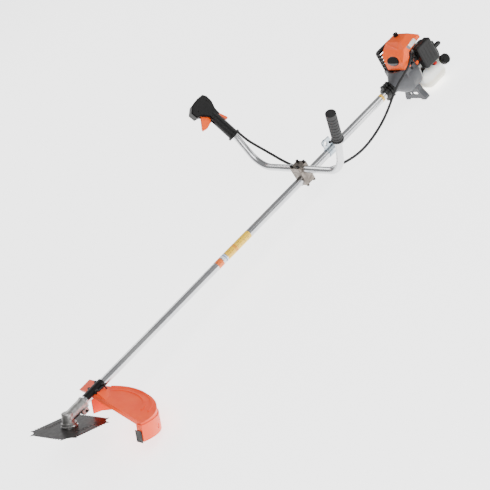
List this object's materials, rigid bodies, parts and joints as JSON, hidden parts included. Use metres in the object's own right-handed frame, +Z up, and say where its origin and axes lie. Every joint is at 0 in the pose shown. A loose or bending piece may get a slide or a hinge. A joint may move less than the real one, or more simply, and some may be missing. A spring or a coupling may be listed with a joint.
{
  "type": "brush cutter",
  "caption": "Petrol brush cutter: a straight shaft with a toothed blade under a curved guard, a U handlebar with throttle grip, and a rear engine on a stand.",
  "frame": {"origin": "middle of the bounding box footprint, on the ground that the guard skirt and the engine stand rest on", "axes": "+X from the blade back along the shaft to the engine, +Y to the operator's right (throttle side), +Z up; the shaft slopes by the rest pose"},
  "size_m": [1.8342, 0.6544, 0.4119],
  "materials": {
    "polished_tube": "polished anodised",
    "cast_aluminium": "cast, bead blasted",
    "steel": "bright",
    "zinc_steel": "zinc plated",
    "black_screws": "black oxide",
    "muffler_steel": "heat tinted sheet",
    "blade_steel": "dark lacquered saw steel",
    "orange_plastic": "moulded, fine grain",
    "orange_cover": "moulded, satin gloss",
    "grey_plastic": "glass filled nylon",
    "black_plastic": "fine grain",
    "rubber": "soft",
    "tank_plastic": "milky polyethylene",
    "red_rubber": "soft, slightly clear",
    "label_film": "printed film",
    "rope_fibre": "braided nylon"
  },
  "bodies": {
    "machine": {"shaft_tube": "polished_tube", "shaft_bushings": "rubber", "gearcase": "cast_aluminium", "head_bearings": "steel", "guard": "orange_plastic", "guard_skirt": "orange_plastic", "line_cutter": "steel", "guard_clamp": "black_plastic", "guard_screws": "black_screws", "handlebar": "polished_tube", "clamp_bottom": "cast_aluminium", "clamp_middle": "cast_aluminium", "clamp_cap": "cast_aluminium", "clamp_screws": "black_screws", "left_grip": "rubber", "handle_inner": "black_plastic", "handle_outer": "black_plastic", "hanger": "zinc_steel", "tube_clamp_screws": "black_screws", "shaft_labels": "label_film", "throttle_cable": "rubber", "neck_collar": "black_plastic", "clutch_housing": "grey_plastic", "body_screws": "black_screws", "engine_stand": "grey_plastic", "engine_bearings": "steel", "crankcase": "cast_aluminium", "cylinder": "cast_aluminium", "spark_plug": "steel", "plug_cap": "black_plastic", "muffler": "muffler_steel", "muffler_guard": "black_plastic", "engine_cover": "orange_cover", "carburettor": "cast_aluminium", "filter_base": "black_plastic", "filter_cover": "black_plastic", "fuel_tank": "tank_plastic", "starter_housing": "black_plastic"},
    "blade_set": {"output_spindle": "steel", "drive_flange": "steel", "blade": "blade_steel", "outer_flange": "steel", "blade_nut": "steel"},
    "drive_train": {"drive_shaft": "steel", "bevel_pinion": "steel", "clutch_drum": "steel"},
    "engine_train": {"crankshaft": "steel", "flywheel": "cast_aluminium", "clutch_shoes": "steel"},
    "throttle_trigger": {"trigger": "orange_cover"},
    "safety_lever": {"lock_lever": "orange_cover"},
    "switch_slider": {"stop_switch": "black_plastic"},
    "carburettor_arm": {"throttle_swivel": "cast_aluminium"},
    "choke_arm": {"choke_lever": "orange_cover"},
    "primer": {"primer_bulb": "red_rubber"},
    "tank_cap": {"fuel_cap": "black_plastic"},
    "cover_screw": {"cover_knob": "black_plastic"},
    "starter_pulley_body": {"starter_pulley": "black_plastic"},
    "starter_handle": {"starter_grip": "black_plastic", "starter_rope": "rope_fibre"}
  },
  "joints": [
    {"name": "blade_spin", "type": "hinge", "parent": "machine", "child": "blade_set", "pos_m": [-0.80991, -0.01003, 0.14838], "axis": [0.4681, 0, 0.8837], "continuous": true},
    {"name": "drive_spin", "type": "hinge", "parent": "machine", "child": "drive_train", "pos_m": [-0.80991, -0.01003, 0.14838], "axis": [0.9994, 0, -0.0333], "continuous": true},
    {"name": "engine_spin", "type": "hinge", "parent": "machine", "child": "engine_train", "pos_m": [0.7892, -0.01003, 0.09508], "axis": [0.9994, 0, -0.0333], "continuous": true},
    {"name": "trigger_squeeze", "type": "hinge", "parent": "machine", "child": "throttle_trigger", "pos_m": [0.25285, 0.29098, 0.3609], "axis": [0.0489, -0.8988, 0.4356], "range_deg": [0, 22], "stiffness_Nm_per_rad": 0.3, "springref_deg": -17.19},
    {"name": "lock_press", "type": "hinge", "parent": "machine", "child": "safety_lever", "pos_m": [0.28465, 0.28333, 0.34153], "axis": [-0.0489, 0.8988, -0.4356], "range_deg": [0, 10], "stiffness_Nm_per_rad": 0.15, "springref_deg": -17.19},
    {"name": "switch_slide", "type": "slide", "parent": "machine", "child": "switch_slider", "axis": [-0.039, 0.4341, 0.9], "range_m": [0, 0.005]},
    {"name": "carburettor_turn", "type": "hinge", "parent": "machine", "child": "carburettor_arm", "pos_m": [0.83168, -0.06003, 0.16871], "axis": [0.0333, 0, 0.9994], "range_deg": [0, 40]},
    {"name": "choke_turn", "type": "hinge", "parent": "machine", "child": "choke_arm", "pos_m": [0.80266, -0.07003, 0.13866], "axis": [0, 1, 0], "range_deg": [0, 60]},
    {"name": "primer_press", "type": "slide", "parent": "machine", "child": "primer", "axis": [0, 1, 0], "range_m": [0, 0.003], "stiffness_N_per_m": 500, "springref_m": -0.002},
    {"name": "cap_turn", "type": "hinge", "parent": "machine", "child": "tank_cap", "pos_m": [0.89214, -0.07003, 0.06163], "axis": [0.0141, -0.9063, 0.4224], "continuous": true},
    {"name": "knob_turn", "type": "hinge", "parent": "machine", "child": "cover_screw", "pos_m": [0.83307, -0.00403, 0.21048], "axis": [0.0333, 0, 0.9994], "continuous": true},
    {"name": "starter_pull", "type": "slide", "parent": "machine", "child": "starter_handle", "axis": [0, -1, 0], "range_m": [0, 0.05], "stiffness_N_per_m": 60, "springref_m": -0.05},
    {"name": "pulley_turn", "type": "hinge", "parent": "machine", "child": "starter_pulley_body", "pos_m": [0.89114, -0.01003, 0.09168], "axis": [0.9994, 0, -0.0333], "range_deg": [0, 104]}
  ],
  "couplings": [
    {"joint": "drive_spin", "follows": "blade_spin", "ratio": 1.25},
    {"joint": "carburettor_turn", "follows": "trigger_squeeze", "ratio": 1.7273},
    {"joint": "pulley_turn", "follows": "starter_pull", "rad_per_m": 36.036}
  ]
}
